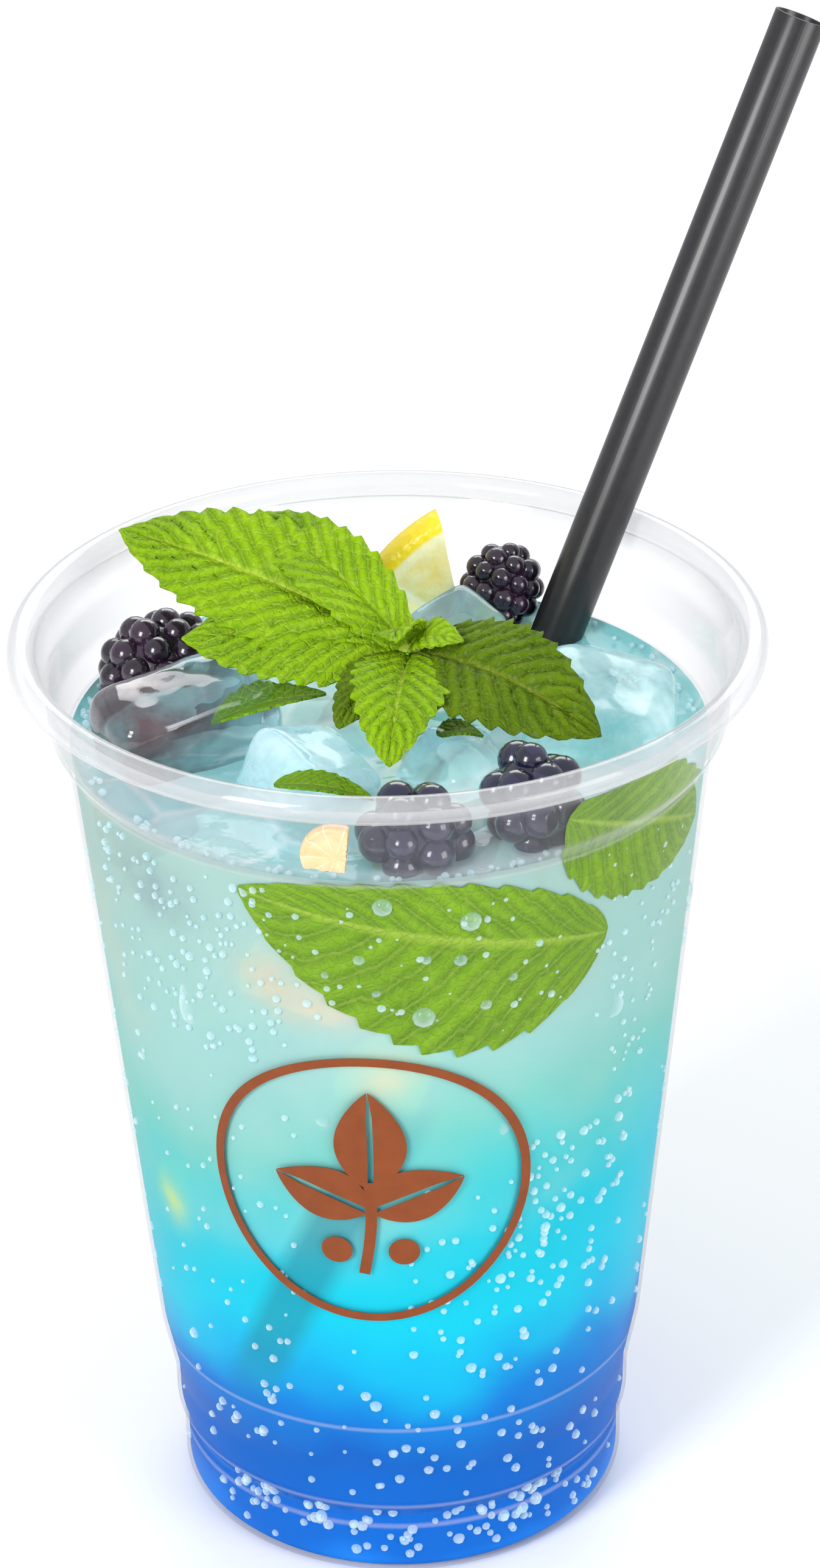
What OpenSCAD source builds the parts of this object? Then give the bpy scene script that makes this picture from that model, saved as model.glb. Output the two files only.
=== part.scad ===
// Iced mint and berry cooler in a clear take-away cup with a drinking straw.
// The cup stands on its foot ring at z = 0, with its axis on Z. The front is -Y.

/* [Cup] */
// Height from the foot to the top of the rim
cup_h = 129; // [115:1:160]
// Outer diameter of the rolled rim
rim_d = 98; // [88:1:120]
// Diameter across the rolled bead's own section
bead_d = 3.6; // [2.5:0.1:5]
// How far the inside of the rim stands out from the neck band
flare_out = 1.1; // [0.6:0.1:4]
// Outer diameter at the foot of the tapered wall
body_low_d = 66.4; // [58:0.2:80]
// Outer diameter of the foot
foot_d = 61; // [54:0.5:74]
// Wall thickness
wall = 0.6; // [0.4:0.05:1]
// Height of the neck band between the shoulder and the flare
neck_h = 5.8; // [4:0.2:9]
// Height of the flare between the neck band and the bead
flare_h = 4.4; // [3:0.2:7]
// Height of the sloping stacking shoulder
shoulder_h = 3.2; // [2:0.2:5]
// How far the neck band stands out from the wall below it
shoulder_out = 2.3; // [1.2:0.1:3.5]
// Height of the floor's underside above the table
floor_lift = 5; // [3:0.2:8]
// Height of the groove above the foot
groove_z = 9.8; // [8.5:0.2:13]
// Height of the lower step's top edge
step_z = 26; // [20:1:34]

/* [Drink] */
// How far the surface lies under the shoulder
fill_below = 0.5; // [0:0.5:12]
// Clearance round everything that sits in or against the drink
fit_gap = 0.15; // [0.1:0.05:0.3]

/* [Straw] */
// Outer diameter of the straw
straw_d = 7; // [5:0.2:9]
// Thickness of the straw's wall
straw_wall = 0.4; // [0.3:0.05:0.6]
// Length of the straw
straw_len = 205; // [170:1:240]
// Distance of the straw's foot from the cup's axis
straw_foot_r = 21; // [12:0.5:23]

/* [Berries] */
// Greatest diameter of the large berry
berry_big_d = 17.2; // [13:0.2:21]
// Greatest diameter of the front berries
berry_front_d = 14.4; // [11:0.2:17.4]
// Greatest diameter of the small berry behind the straw
berry_small_d = 11.6; // [9:0.2:14]
// Depth of the dents between the drupelets
berry_dent = 1.1; // [0.5:0.1:1.6]

/* [Ice and lemon] */
// Side of the large ice piece on the left
ice_big = 21; // [16:0.5:24]
// Side of the middle-sized ice pieces
ice_mid = 15; // [11:0.5:17]
// Side of the small ice piece beside the straw
ice_small = 10.5; // [8:0.5:12.5]
// Radius of the lemon wheel that the piece was cut from
lemon_r = 24; // [19:0.5:28]
// Thickness of the lemon piece
lemon_t = 5.4; // [4:0.2:6.6]

/* [Mint] */
// Height of the sprig's leaf joint above the drink
sprig_lift = 13; // [10:0.5:17]
// Thickness of a mint leaf
leaf_t = 0.5; // [0.4:0.05:0.8]
// Diameter of the mint stem
stem_d = 3; // [2:0.2:4]
// How deep the stem reaches into the drink
stem_deep = 22; // [10:1:40]

/* [Hidden] */
$fn = 96;

// ---- cup profile ----
rim_r = rim_d / 2;
bead_r = bead_d / 2;
low_r = body_low_d / 2;
foot_r = foot_d / 2;
flare_z = cup_h - bead_r - flare_h;
shoulder_z = flare_z - neck_h - shoulder_h;
mouth_r = rim_r - bead_d;          // inside of the bead
neck_r = mouth_r - flare_out;
body_r = neck_r - shoulder_out;    // tall wall just under the shoulder
foot_round = 1.9;                  // rounding of the foot's outer edge
groove_deep = 0.5;                 // depth of the groove above the foot
ring_in = 4;                       // width of the foot ring, outer edge to recess
recess_slope = 1.5;                // how much narrower the recess is at its top
step_h = 8.5;                      // height of the lower step's slope
step_in = 1.8;                     // how far the lower step goes in
step_r = low_r - step_in;
bead_join = 216;                   // angle where the flare meets the bead

function arc(c, r, from, to, n) =
    [for (i = [0:n]) let (a = from + (to - from) * i / n) [c[0] + r * cos(a), c[1] + r * sin(a)]];

// Outer skin from the foot ring up to the start of the bead, bottom to top
skin = concat(
    arc([foot_r - foot_round, foot_round], foot_round, -90, 0, 5),
    [[foot_r, groove_z - 1.6], [foot_r - groove_deep, groove_z], [step_r, groove_z + 2.2],
     [step_r + 0.1, step_z - step_h], [low_r, step_z],
     [body_r, shoulder_z], [neck_r - 0.2, shoulder_z + shoulder_h], [neck_r, flare_z]]);
bead = arc([rim_r - bead_r, cup_h - bead_r], bead_r, bead_join - 360, 180, 18);

// Inner skin, bottom to top, each point one wall inside the skin
recess_r = foot_r - ring_in;
floor_z = floor_lift + wall;
inner_low = [[0, floor_z], [recess_r - recess_slope + wall / 2, floor_z],
             [recess_r + wall, wall], [foot_r - foot_round, wall]];
inner_wall = [for (i = [1:len(skin) - 1]) [skin[i][0] - wall, max(skin[i][1], wall)]];
inner_top = [[mouth_r, cup_h - bead_r]];
underside = [[0, floor_lift], [recess_r - recess_slope, floor_lift], [recess_r, 0]];

function reversed(list) = [for (i = [len(list) - 1:-1:0]) list[i]];

// ---- drink ----
level = shoulder_z - fill_below;
// Inner radius of the cup's straight wall at height z
function wall_r(z) = low_r - wall + (body_r - low_r) * (z - step_z) / (shoulder_z - step_z);
surface_r = wall_r(level);

// ---- straw: stands on the floor and leans on the rim ----
straw_r = straw_d / 2;
straw_foot_az = 159.5;             // direction of the straw's foot from the axis
straw_rim_az = 46.8;               // direction in which it leans on the rim
rest_z = cup_h - bead_r;
straw_foot_xy = straw_foot_r * [cos(straw_foot_az), sin(straw_foot_az)];
rim_dir = [cos(straw_rim_az), sin(straw_rim_az)];
// How much wider a slanting straw is than its own diameter, where a level plane cuts it
slant = norm([norm(mouth_r * rim_dir - straw_foot_xy), rest_z - floor_z]) / (rest_z - floor_z);
rest_r = mouth_r - slant * straw_r - (slant - 1) * bead_r - fit_gap;
straw_rest = [rest_r * rim_dir[0], rest_r * rim_dir[1], rest_z];
straw_run = norm([straw_rest[0], straw_rest[1]] - straw_foot_xy);
// Lifts the straw's cut end so that its low edge just clears the floor
straw_lift = straw_r * straw_run / norm([straw_run, rest_z - floor_z]) + fit_gap;
straw_foot = [straw_foot_xy[0], straw_foot_xy[1], floor_z + straw_lift];
straw_under = 0.9;                 // how far under the straw its channel in the drink starts, over its lift
straw_dir = straw_rest - straw_foot;
straw_tilt = acos(straw_dir[2] / norm(straw_dir));
straw_az = atan2(straw_dir[1], straw_dir[0]);
seam_turn = 90;                    // where the seam runs round the straw and the stem

// ---- floating pieces: [distance from the axis, direction, height over the drink] ----
function polar(r, az, h) = [r * cos(az), r * sin(az), level + h];
// Centre of a piece whose half width is half, lying against the wall at az
function by_wall(half, az, h) = polar(surface_r - half - 2 * fit_gap, az, h);

berry_long = 1.12;                 // length of a berry over its diameter
// [centre, diameter, yaw, pitch] of each berry
left_berry = [by_wall(berry_big_d / 2, 156, 3), berry_big_d, 28, 84];
back_tuck = 0.9;                   // how far the small berry's end is tucked under the neck band
back_berry = [by_wall(berry_small_d / 2 - back_tuck, 64.5, 5), berry_small_d, 40, 30];
front_b_az = -57.5;                // direction of the second front berry
front_r = surface_r - berry_front_d * berry_long / 2;
// The second front berry lies one berry length along the wall from the first
front_a_az = front_b_az - 2 * asin((berry_front_d * (1 + berry_long) / 4 + fit_gap) / front_r);
front_berry_a = [polar(front_r, front_a_az, 3), berry_front_d, front_a_az + 90, 90];
front_berry_b = [polar(front_r, front_b_az, 5), berry_front_d, front_b_az + 180, 25];

// A point at a height over the drink, a distance away from another piece in direction az
function beside(p, dist, az, h) = [p[0] + dist * cos(az), p[1] + dist * sin(az), level + h];
function straw_at(z) = straw_foot + straw_dir * (z - straw_foot[2]) / straw_dir[2];

// How far apart two neighbours' centres lie, over the sum of their sizes
berry_to_ice = 0.4393;
ice_to_ice = 0.5095;
chip_to_ice = 1.2736;              // the same for the two front pieces, over ice_mid
back_room = 1.91;                  // between the straw and the ball that rounds the small ice piece
right_sides = ice_mid * [1.3, 1.5, 1];
back_sides = ice_small * [1, 1, 1.2];
// Rounding of each ice piece: its ball's radius over its longest side
left_round = 0.64;
right_round = 0.6;
front_round = 0.74;
back_round = 0.72;
// [centre, sides, turn, rounding] of each ice piece
left_ice = [beside(left_berry[0], berry_to_ice * (berry_big_d + ice_big), -77.82, 1.5),
            ice_big * [1.1, 0.68, 0.84], [4, -6, 28], left_round];
right_ice = [by_wall(right_round * right_sides[1], 5, -1.5), right_sides, [4, 9, -8], right_round];
front_ice_a = [beside(left_ice[0], ice_to_ice * (ice_big + ice_mid), -33.94, -1.5),
               ice_mid * [0.92, 0.92, 0.92], [14, 20, 40], front_round];
front_ice_b = [beside(front_ice_a[0], chip_to_ice * ice_mid, 0.9, -0.5),
               ice_mid * [0.74, 0.74, 0.74], [24, 18, 36], front_round];
back_ice = [beside(straw_at(level), straw_r + back_round * back_sides[2] + back_room, 202.7, 1.2),
            back_sides, [14, -12, 38], back_round];

// ---- lemon piece ----
lemon_az = 64.4;                   // direction of its wheel's centre
lemon_down = 6;                    // how far that centre lies under the surface
lemon_room = 0.2;                  // from that centre to the wall at the piece's lowest edge
lemon_yaw = 10;                    // turn of the cut face away from the front
lemon_side = 6.5;                  // how far from that centre the straight cut runs
lemon_cut = -10;                   // lean of the straight cut
lemon_under = 12;                  // how far the piece reaches under its wheel's centre
lemon_at = polar(wall_r(level - lemon_down - lemon_under) - lemon_room, lemon_az, -lemon_down);

// ---- mint ----
joint = [3, -2, level + sprig_lift];
// [tip from the joint, half width, direction of the width, arch, fold] of each leaf
leaves = [
    [[-38, 22, 7.6], 10.6, [0.1, 0.82, 0.56], 3.2, 0.16],
    [[-28.5, 8.5, 2.2], 8.6, [0.2, 0.86, 0.42], 1.8, 0.1],
    [[-17, 27, 7.5], 7.6, [0.86, 0.3, 0.36], 3.4, 0.3],
    [[23.4, -16.5, -4.2], 8.4, [0.3, 0.86, 0.42], 3.4, 0.12],
    [[-3.2, -21, -5.4], 6.2, [1, 0.05, 0], 2.6, 0.12],
    [[-9.5, -14.5, -3.4], 4.6, [0.8, -0.55, 0], 1.2, 0.1],
    [[-2, -6, 4.2], 3.4, [0.95, 0, 0.25], 1.8, 0.3],
    [[6.5, -4.5, 3.2], 3, [0.4, 0.8, 0.3], 1.6, 0.3]];
leaf_steps = 18;                   // stations along a leaf
leaf_rows = 4;                     // strips across a leaf
tooth = 0.07;                      // depth of the leaf's teeth over its width
stem_foot = [-1, 4, level - stem_deep];
stem_parts = 9;                    // stretches between the stem's nodes
stem_swell = 1.1;                  // radius at a node over the stem's radius

// ---- shapes ----

// A dark bramble with staggered rows of round drupelets, long axis on Z
module berry_body(d) {
    around = 7;
    rows = 4;
    na = around * 3;
    nt = rows * 3;
    // 0 on top of a drupelet, 1 in the dent between two
    function dent(x) = pow(abs(cos(x)), 1.6);
    function radius(t, a) =
        let (row = floor(rows * t / 180.001),
             edge = dent(rows * t),
             side = dent(around * a / 2 + (row % 2) * 90))
        1 - 2 * berry_dent / d * max(edge, side * sin(t));
    function point(t, a) =
        let (k = radius(t, a))
        [k * d / 2 * sin(t) * cos(a), k * d / 2 * sin(t) * sin(a), k * d * berry_long / 2 * cos(t)];
    ring = [for (i = [1:nt - 1]) for (j = [0:na - 1]) point(180 * i / nt, 360 * j / na)];
    top = (nt - 1) * na;
    points = concat(ring, [point(0, 0), point(180, 0)]);
    sides = [for (i = [0:nt - 3]) for (j = [0:na - 1])
        let (a = i * na + j, b = i * na + (j + 1) % na) each [[a, b, b + na], [a, b + na, a + na]]];
    caps = [for (j = [0:na - 1])
        let (k = (j + 1) % na, low = (nt - 2) * na) each [[top, k, j], [top + 1, low + j, low + k]]];
    polyhedron(points, concat(sides, caps));
}

module place_berry(b) {
    translate(b[0]) rotate([0, b[3], b[2]]) children();
}

module berry(b) {
    color([0.09, 0.05, 0.12]) place_berry(b) berry_body(b[1]);
}

module ice_block(p, gap) {
    translate(p[0]) rotate(p[2]) cube(p[1] + 2 * [gap, gap, gap], center = true);
}

// An ice piece: a block whose corners have melted round
module ice(p) {
    color([0.75, 0.93, 0.95]) intersection() {
        ice_block(p, 0);
        translate(p[0]) rotate(p[2]) sphere(r = max(p[1]) * p[3]);
    }
}

module lemon_body(gap) {
    translate(lemon_at) rotate([0, 0, lemon_yaw]) intersection() {
        rotate([90, 0, 0]) cylinder(r = lemon_r + gap, h = lemon_t + 2 * gap, center = true);
        translate([-lemon_side + gap, 0, 0]) rotate([0, lemon_cut, 0])
            translate([-lemon_r, 0, lemon_r - lemon_under])
                cube([2 * lemon_r, 2 * lemon_r, 2 * lemon_r + 2 * gap], center = true);
    }
}

module straw_line(r, from, length) {
    translate(straw_foot) rotate([0, straw_tilt, straw_az])
        translate([0, 0, from]) rotate([0, 0, seam_turn]) cylinder(r = r, h = length);
}

function unit(v) = v / norm(v);
// Half width of a leaf along its length, with teeth on its middle part
function leaf_w(i) = let (u = i / leaf_steps, inside = i > 2 && i < leaf_steps - 1)
    max(0.09, pow(sin(180 * pow(u, 0.78)), 0.72)) * (inside ? 1 + tooth * (i % 2 == 0 ? 1 : -1) : 1);

module leaf(p) {
    along = unit(p[0]);
    side = unit(p[2] - along * (p[2] * along));
    up = cross(along, side)[2] > 0 ? cross(along, side) : -cross(along, side);
    function spot(i, j, lift) =
        let (u = i / leaf_steps, v = 2 * j / leaf_rows - 1, w = p[1] * leaf_w(i))
        joint + p[0] * u + side * w * v
            + up * (p[3] * sin(180 * u) + p[4] * w * abs(v) - 0.14 * w * v * v + lift);
    n = leaf_rows + 1;
    grid = (leaf_steps + 1) * n;
    points = [for (lift = [leaf_t / 2, -leaf_t / 2]) for (i = [0:leaf_steps]) for (j = [0:leaf_rows])
        spot(i, j, lift)];
    flip = cross(along, side)[2] > 0;
    function turned(f) = flip ? f : [f[2], f[1], f[0]];
    plates = [for (i = [0:leaf_steps - 1]) for (j = [0:leaf_rows - 1])
        let (a = i * n + j, b = a + 1, c = a + n + 1, d = a + n)
        each [[a, b, c], [a, c, d], [grid + c, grid + b, grid + a], [grid + d, grid + c, grid + a]]];
    long_edges = [for (i = [0:leaf_steps - 1])
        let (a = i * n, d = a + n, b = a + leaf_rows, c = b + n)
        each [[a, d, grid + d], [a, grid + d, grid + a], [c, b, grid + b], [c, grid + b, grid + c]]];
    short_edges = [for (j = [0:leaf_rows - 1])
        let (a = j, b = j + 1, c = leaf_steps * n + j, d = c + 1)
        each [[b, a, grid + a], [b, grid + a, grid + b], [c, d, grid + d], [c, grid + d, grid + c]]];
    polyhedron(points, [for (f = concat(plates, long_edges, short_edges)) turned(f)]);
}

// The stem, a chain of stretches that swell a little at every third node
module stem() {
    function spot(k) = let (u = k / stem_parts) joint * (1 - u) + stem_foot * u;
    function node_r(k) = stem_d / 2 * (k % 3 == 0 ? stem_swell : 0.94);
    for (k = [0:stem_parts - 1])
        hull() {
            translate(spot(k)) sphere(r = node_r(k), $fn = 10);
            translate(spot(k + 1)) sphere(r = node_r(k + 1), $fn = 10);
        }
}

// The room that the stem takes, from its foot to past the leaf joint
module stem_room(gap) {
    line = joint - stem_foot;
    lean = acos(line[2] / norm(line));
    r = stem_d / 2 * stem_swell + gap;
    translate(stem_foot) rotate([0, lean, atan2(line[1], line[0])])
        translate([0, 0, -r]) rotate([0, 0, seam_turn]) cylinder(r = r, h = norm(line) + 2 * r);
}

// ---- nodes ----

module cup() {
    color([0.9, 0.92, 0.93, 0.4]) rotate_extrude()
        polygon(concat(underside, skin, bead, inner_top, reversed(inner_wall), reversed(inner_low)));
}

module drink() {
    low = [for (i = [0:3]) inner_low[i] + [i % 3 == 0 ? 0 : fit_gap, fit_gap]];
    side = [for (p = inner_wall) if (p[1] < step_z + 1) p + [-fit_gap, fit_gap]];
    color([0.1, 0.7, 0.85, 0.7]) difference() {
        rotate_extrude() polygon(concat(low, side, [[surface_r - fit_gap, level], [0, level]]));
        straw_line(straw_r + fit_gap, -straw_under * straw_lift, straw_len);
        stem_room(fit_gap);
        for (b = [left_berry, back_berry, front_berry_a, front_berry_b])
            translate(b[0]) sphere(r = b[1] * berry_long / 2 + fit_gap);
        for (p = [left_ice, right_ice, front_ice_a, front_ice_b, back_ice])
            ice_block(p, fit_gap);
        lemon_body(fit_gap);
    }
}

module straw() {
    color([0.13, 0.12, 0.12]) difference() {
        straw_line(straw_r, 0, straw_len);
        straw_line(straw_r - straw_wall, -1, straw_len + 2);
    }
}

module mint_sprig() {
    color([0.45, 0.75, 0.08]) union() {
        stem();
        for (p = leaves) leaf(p);
    }
}

module lemon_piece() {
    color([0.97, 0.88, 0.25]) lemon_body(0);
}

module berry_left() { berry(left_berry); }
module berry_back() { berry(back_berry); }
module berry_front_a() { berry(front_berry_a); }
module berry_front_b() { berry(front_berry_b); }
module ice_left() { ice(left_ice); }
module ice_right() { ice(right_ice); }
module ice_front_a() { ice(front_ice_a); }
module ice_front_b() { ice(front_ice_b); }
module ice_back() { ice(back_ice); }

cup();
drink();
straw();
mint_sprig();
lemon_piece();
berry_left();
berry_back();
berry_front_a();
berry_front_b();
ice_left();
ice_right();
ice_front_a();
ice_front_b();
ice_back();
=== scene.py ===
# Iced mint and berry cooler in a clear take-away cup: its looks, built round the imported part.
# Lengths are written in millimetres and multiplied by MM. The cup's axis is Z and its front is -Y.
import math
import random

import bpy
from mathutils import Euler, Matrix, Vector, noise


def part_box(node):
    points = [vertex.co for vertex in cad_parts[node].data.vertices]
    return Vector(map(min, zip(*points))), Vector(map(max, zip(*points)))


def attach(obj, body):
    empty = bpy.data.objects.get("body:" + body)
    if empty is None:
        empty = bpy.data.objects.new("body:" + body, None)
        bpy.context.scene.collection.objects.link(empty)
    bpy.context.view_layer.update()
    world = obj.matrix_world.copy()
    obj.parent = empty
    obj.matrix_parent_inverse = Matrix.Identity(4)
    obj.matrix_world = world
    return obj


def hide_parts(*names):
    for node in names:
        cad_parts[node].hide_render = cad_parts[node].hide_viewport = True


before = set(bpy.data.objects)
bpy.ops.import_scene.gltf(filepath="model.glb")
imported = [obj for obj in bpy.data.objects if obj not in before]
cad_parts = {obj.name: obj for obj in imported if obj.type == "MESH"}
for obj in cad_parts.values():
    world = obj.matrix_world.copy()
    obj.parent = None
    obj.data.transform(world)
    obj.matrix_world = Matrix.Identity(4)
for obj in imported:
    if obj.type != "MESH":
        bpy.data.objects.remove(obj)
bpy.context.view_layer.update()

MM = 0.001

# ---- the cup's own sizes ----
WALL = 0.6
FLOOR_Z = 5.6
LEVEL = 113.3
CUP_H = 129.0
RIM_R = 49.0
BEAD_R = 1.8
WALL_SLOPE = 5.7
ROUNDING = 0.7
# Outer skin, radius and height, foot to flare
SKIN = [(30.5, 0.0), (30.5, 8.2), (30.0, 9.8), (31.4, 12.0), (31.5, 17.5), (33.2, 26.0),
        (42.0, 113.8), (44.1, 117.0), (44.3, 122.8)]

# ---- the sizes that a shape and its material share ----
LEAF_JOINT = Vector((3, -2, 126.3))
STEM_FOOT = Vector((-1, 4, 91.3))
VEIN_SLANT = 0.24
LEMON_PARTS = 10
# Where the flesh ends and the rind starts, as shares of a lemon wheel's radius
PITH, RIND = 0.86, 0.92


def skin_r(z):
    """Outer radius of the cup's wall at a height."""
    if z <= SKIN[0][1]:
        return SKIN[0][0]
    for (r0, z0), (r1, z1) in zip(SKIN, SKIN[1:]):
        if z <= z1:
            return r0 + (r1 - r0) * (z - z0) / (z1 - z0)
    return SKIN[-1][0]


def on_wall(turn, z, inset):
    """The point of the wall at an angle from the front, in degrees, and a height, set in from the outer skin."""
    r = skin_r(z) - inset
    a = math.radians(turn)
    return Vector((r * math.sin(a), -r * math.cos(a), z))


# ---- working with Blender's tools ----
def pick_none():
    """Nothing selected, in object mode."""
    if bpy.context.object and bpy.context.object.mode != "OBJECT":
        bpy.ops.object.mode_set(mode="OBJECT")
    bpy.ops.object.select_all(action="DESELECT")


def pick(*pieces):
    """Only these pieces selected, the first one active."""
    pick_none()
    for piece in pieces:
        piece.select_set(True)
    bpy.context.view_layer.objects.active = pieces[0]


def added(name):
    """The primitive that was just added, named and in edit mode with all of it selected."""
    piece = bpy.context.object
    piece.name = piece.data.name = name
    bpy.ops.object.mode_set(mode="EDIT")
    bpy.ops.mesh.select_all(action="SELECT")
    return piece


def modify(piece, kind, **settings):
    """Adds a modifier and applies it."""
    modifier = piece.modifiers.new(kind.title(), kind)
    for key, value in settings.items():
        setattr(modifier, key, value)
    pick(piece)
    bpy.ops.object.modifier_apply(modifier=modifier.name)


def settle(piece):
    """Puts the piece's place into its mesh."""
    pick(piece)
    bpy.ops.object.transform_apply(location=True, rotation=True, scale=True)


def put(piece, at, turn):
    """Turns a piece by degrees about X, Y, Z and moves it to a point in mm."""
    piece.matrix_world = (Matrix.Translation(Vector(at) * MM)
                          @ Euler([math.radians(t) for t in turn]).to_matrix().to_4x4())
    settle(piece)


def copy_of(piece, name):
    """A copy with its own mesh."""
    twin = piece.copy()
    twin.data = piece.data.copy()
    twin.name = twin.data.name = name
    bpy.context.collection.objects.link(twin)
    return twin


def joined(pieces, name):
    """Several pieces made one mesh."""
    pick(*pieces)
    bpy.ops.object.join()
    piece = bpy.context.object
    piece.name = piece.data.name = name
    return piece


def smooth(piece, angle):
    """Smooth shading, with edges sharper than an angle in degrees left crisp."""
    pick(piece)
    bpy.ops.object.shade_smooth_by_angle(angle=math.radians(angle))


def fit_out(piece, material, slot, *nodes):
    """Gives a finished piece its material and its place on the part."""
    settle(piece)
    piece.data.materials.clear()
    piece.data.materials.append(material)
    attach(piece, "root")
    if nodes:
        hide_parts(*nodes)
    return piece


def rounded(points):
    """The same line with its inner corners rounded."""
    line = [points[0]]
    parts = 4
    for before, corner, after in zip(points, points[1:], points[2:]):
        a, c, b = Vector(before), Vector(corner), Vector(after)
        p = c + (a - c).normalized() * min(ROUNDING, (a - c).length * 0.45)
        q = c + (b - c).normalized() * min(ROUNDING, (b - c).length * 0.45)
        for k in range(parts + 1):
            t = k / parts
            line.append(tuple((1 - t) ** 2 * p + 2 * t * (1 - t) * c + t * t * q))
    return line + [points[-1]]


def spun(name, profile, steps=144):
    """A line of (radius, height) points, extruded point by point and spun about Z."""
    pick_none()
    bpy.ops.mesh.primitive_plane_add(size=MM, location=(0, 0, 0))
    piece = added(name)
    bpy.ops.mesh.merge(type="CENTER")
    bpy.ops.transform.translate(value=(profile[0][0] * MM, 0, profile[0][1] * MM))
    for (r0, z0), (r1, z1) in zip(profile, profile[1:]):
        bpy.ops.mesh.extrude_region_move(
            TRANSFORM_OT_translate={"value": ((r1 - r0) * MM, 0, (z1 - z0) * MM)})
    bpy.ops.mesh.select_all(action="SELECT")
    bpy.ops.mesh.spin(steps=steps, angle=math.tau, center=(0, 0, 0), axis=(0, 0, 1))
    bpy.ops.mesh.select_all(action="SELECT")
    bpy.ops.mesh.remove_doubles(threshold=0.02 * MM)
    bpy.ops.mesh.normals_make_consistent(inside=False)
    pick_none()
    return piece


# ---- materials ----
def new_material(name):
    """A material with no nodes yet."""
    material = bpy.data.materials.new(name)
    material.use_nodes = True
    material.node_tree.nodes.clear()
    return material


def add(material, kind, values=None, **settings):
    """One shader node; values gives each input a number, a colour or another node's output."""
    node = material.node_tree.nodes.new("ShaderNode" + kind)
    for key, value in settings.items():
        setattr(node, key, value)
    for key, value in (values or {}).items():
        if isinstance(value, bpy.types.NodeSocket):
            material.node_tree.links.new(value, node.inputs[key])
        else:
            node.inputs[key].default_value = value
    return node


def maths(material, operation, *values, clamp=False):
    """A sum on numbers or on other nodes' outputs."""
    return add(material, "Math", dict(enumerate(values)), operation=operation, use_clamp=clamp).outputs[0]


def ramp(material, factor, stops):
    """Colours by position; each stop is (position, red, green, blue)."""
    node = add(material, "ValToRGB", {0: factor})
    elements = node.color_ramp.elements
    while len(elements) < len(stops):
        elements.new(0.5)
    for element, stop in zip(elements, stops):
        element.position = stop[0]
        element.color = (*stop[1:4], 1)
    return node.outputs["Color"]


def blend(material, factor, first, second):
    """A mix of two colours."""
    node = add(material, "Mix", data_type="RGBA")
    for index, value in ((0, factor), (6, first), (7, second)):
        if isinstance(value, bpy.types.NodeSocket):
            material.node_tree.links.new(value, node.inputs[index])
        else:
            node.inputs[index].default_value = value if index == 0 else (*value[:3], 1)
    return node.outputs[2]


def rise(material, value, low, high):
    """0 at one length and 1 at another, in mm, and level beyond both."""
    return add(material, "MapRange", {0: value, 1: low * MM, 2: high * MM}).outputs[0]


def place_in(material):
    """A point's place on the whole object, in metres."""
    return add(material, "TexCoord").outputs["Object"]


def speckle(material, scale, detail, at=None):
    """Noise from 0 to 1; scale is in patches per metre."""
    return add(material, "TexNoise", {"Vector": at or place_in(material), "Scale": scale,
                                      "Detail": detail}).outputs["Fac"]


def bumps(material, height, depth, strength):
    """A normal from a height pattern; depth is in mm."""
    return add(material, "Bump", {"Height": height, "Distance": depth * MM,
                                  "Strength": strength}).outputs["Normal"]


def show(material, surface):
    """Ends a material with its surface."""
    add(material, "OutputMaterial", {"Surface": surface})
    return material


def grazing(material, power):
    """0 where the surface faces the viewer and 1 at its edge."""
    facing = add(material, "LayerWeight", {"Blend": 0.5}).outputs["Facing"]
    return maths(material, "POWER", facing, power)


def clear_cup_material():
    """Clear plastic that is milky in the rolled rim, a little in the neck, and at its edges, with a painted
    highlight line at each rib and ledge.
    """
    m = new_material("clear_cup_plastic")
    at = place_in(m)
    haze = speckle(m, 90, 3, at)
    height = add(m, "SeparateXYZ", {0: at}).outputs[2]
    rim, neck, upper = rise(m, height, 124.0, 126.2), rise(m, height, 112.0, 117.0), rise(m, height, 112.8, 116.0)
    tint = blend(m, grazing(m, 2.2), (0.970, 0.966, 0.974), (0.85, 0.84, 0.845))
    clear = add(m, "BsdfTransparent", {"Color": tint}).outputs[0]
    gloss = add(m, "BsdfGlossy", {"Color": (1, 1, 1, 1), "Roughness": 0.05}).outputs[0]
    body = add(m, "BsdfPrincipled", {"Base Color": blend(m, haze, (0.56, 0.56, 0.565), (0.68, 0.68, 0.68)),
                                     "Roughness": 0.12, "IOR": 1.5}).outputs[0]
    mirror = maths(m, "MULTIPLY", grazing(m, 4.5), maths(m, "MULTIPLY_ADD", upper, 0.30, 0.22))
    mirror = maths(m, "ADD", mirror, 0.012)
    shell = add(m, "MixShader", {0: mirror, 1: clear, 2: gloss}).outputs[0]
    milk = maths(m, "MULTIPLY", grazing(m, 3.0), maths(m, "MULTIPLY_ADD", upper, 0.40, 0.07))
    milk = maths(m, "ADD", milk, maths(m, "MULTIPLY", neck, 0.025))
    milk = maths(m, "ADD", milk, maths(m, "MULTIPLY", rim, 0.24), clamp=True)
    # A painted highlight line at each rib and ledge, standing in for the light that its edge bends
    for z in (8.3, 12.1, 26.0, 113.8):
        off = maths(m, "ABSOLUTE", maths(m, "SUBTRACT", height, z * MM))
        rib_highlight = add(m, "MapRange", {0: off, 1: 0.1 * MM, 2: 0.5 * MM, 3: 0.19, 4: 0.0}).outputs[0]
        milk = maths(m, "MAXIMUM", milk, rib_highlight)
    return show(m, add(m, "MixShader", {0: milk, 1: shell, 2: body}).outputs[0])


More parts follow.
